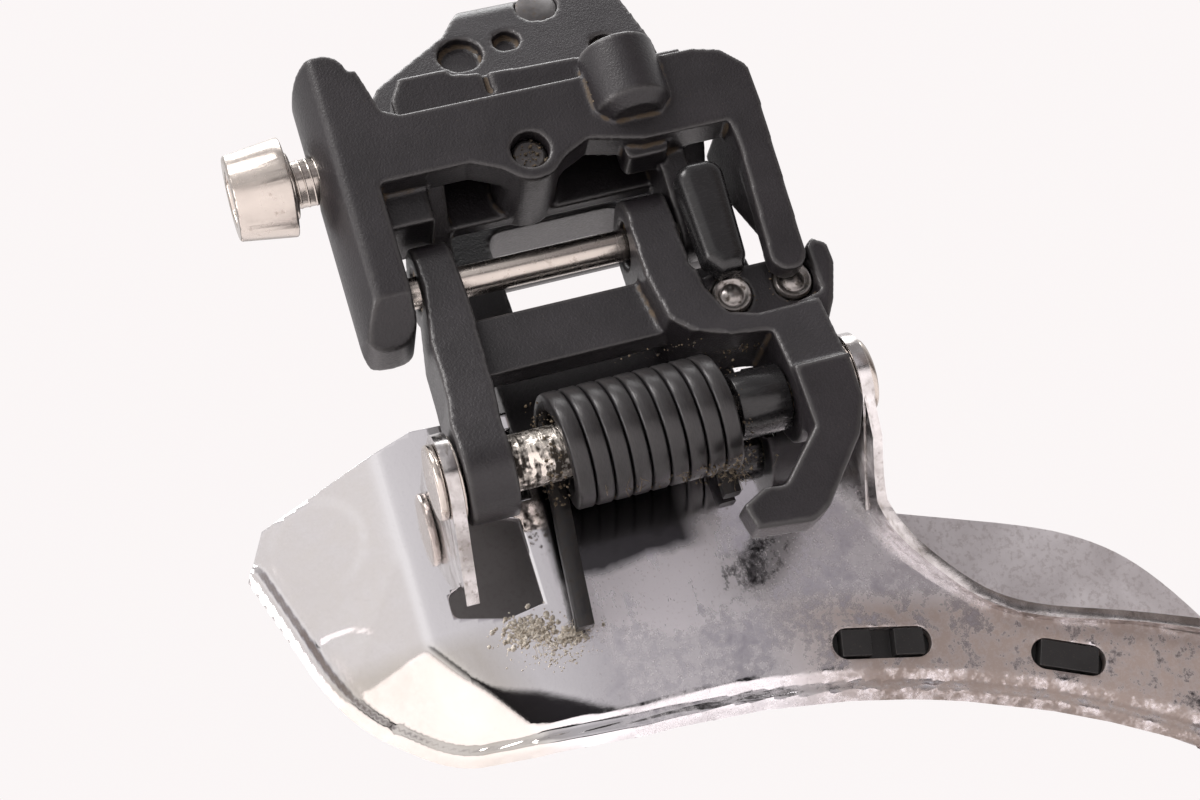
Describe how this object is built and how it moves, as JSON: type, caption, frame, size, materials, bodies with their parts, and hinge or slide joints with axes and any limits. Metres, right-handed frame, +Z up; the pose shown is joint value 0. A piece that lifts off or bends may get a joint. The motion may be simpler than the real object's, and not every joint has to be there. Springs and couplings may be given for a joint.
{
  "type": "front derailleur",
  "caption": "Braze-on front derailleur: black link mechanism with a return spring swings a bright two-plate chain cage sideways.",
  "frame": {"origin": "crest of the curved mount pad, on the clamp bolt axis", "axes": "+X rearward along the pivot axles, +Y outboard to the drive side, +Z up along the seat tube"},
  "size_m": [0.1081, 0.0412, 0.1176],
  "materials": {
    "black_cast": "satin black coat on cast aluminium",
    "black_smooth": "smooth black",
    "bright_steel": "turned steel",
    "dark_steel": "dull steel",
    "bronze": "sintered bush",
    "chrome_sheet": "bright plated sheet",
    "black_plastic": "moulded",
    "black_spring": "satin black spring steel"
  },
  "bodies": {
    "base": {"base_member": "black_cast", "stop_block": "black_smooth", "upper_inner_axle": "bright_steel", "upper_outer_axle": "bright_steel", "axle_rings": "dark_steel"},
    "clamp_bolt": {"clamp_bolt": "bright_steel"},
    "support_bolt": {"support_bolt": "dark_steel"},
    "inner_link": {"inner_link": "black_cast", "inner_link_bushes": "bronze"},
    "low_limit_screw": {"low_limit_screw": "dark_steel"},
    "high_limit_screw": {"high_limit_screw": "dark_steel"},
    "outer_link": {"outer_link": "black_cast", "outer_link_bushes": "bronze", "cable_clamp_plate": "dark_steel"},
    "cable_clamp_bolt": {"cable_clamp_bolt": "dark_steel"},
    "cage": {"cage_inner_plate": "chrome_sheet", "cage_outer_plate": "chrome_sheet", "lower_inner_axle": "bright_steel", "lower_outer_axle": "bright_steel", "front_rivet": "bright_steel", "tail_spacer": "bright_steel", "skid_plate": "black_plastic", "torsion_spring": "black_spring", "spring_bush": "black_plastic", "spring_sleeve": "bright_steel", "side_washers": "bronze"},
    "tail_screw": {"tail_screw": "bright_steel"}
  },
  "joints": [
    {"name": "link_swing", "type": "hinge", "parent": "base", "child": "inner_link", "pos_m": [0, 0.0025, -0.0135], "axis": [1, 0, 0], "range_deg": [0, 26], "stiffness_Nm_per_rad": 0.25, "springref_deg": -34.38},
    {"name": "outer_link_swing", "type": "hinge", "parent": "base", "child": "outer_link", "pos_m": [0, 0.0135, -0.0095], "axis": [1, 0, 0], "range_deg": [0, 26]},
    {"name": "cage_pivot", "type": "hinge", "parent": "inner_link", "child": "cage", "pos_m": [0, -0.00252, -0.03523], "axis": [1, 0, 0], "range_deg": [-26, 0], "deforming": ["torsion_spring"]},
    {"name": "clamp_bolt_turn", "type": "hinge", "parent": "base", "child": "clamp_bolt", "pos_m": [0, 0, 0], "axis": [-1, 0, 0], "continuous": true},
    {"name": "support_bolt_turn", "type": "hinge", "parent": "base", "child": "support_bolt", "pos_m": [0.0214, 0, -0.0044], "axis": [0, 1, 0], "continuous": true},
    {"name": "low_limit_turn", "type": "hinge", "parent": "inner_link", "child": "low_limit_screw", "pos_m": [0.044, 0, -0.0236], "axis": [0, 1, 0], "continuous": true},
    {"name": "high_limit_turn", "type": "hinge", "parent": "inner_link", "child": "high_limit_screw", "pos_m": [0.0374, 0, -0.0236], "axis": [0, 1, 0], "continuous": true},
    {"name": "cable_bolt_turn", "type": "hinge", "parent": "outer_link", "child": "cable_clamp_bolt", "pos_m": [0.0335, 0.02282, 0.02527], "axis": [0, 0.9659, -0.2588], "continuous": true},
    {"name": "tail_screw_turn", "type": "hinge", "parent": "cage", "child": "tail_screw", "pos_m": [0.08325, 0.012, -0.08171], "axis": [0, 1, 0], "continuous": true}
  ],
  "couplings": [
    {"joint": "outer_link_swing", "follows": "link_swing", "ratio": 1},
    {"joint": "cage_pivot", "follows": "link_swing", "ratio": -1}
  ]
}
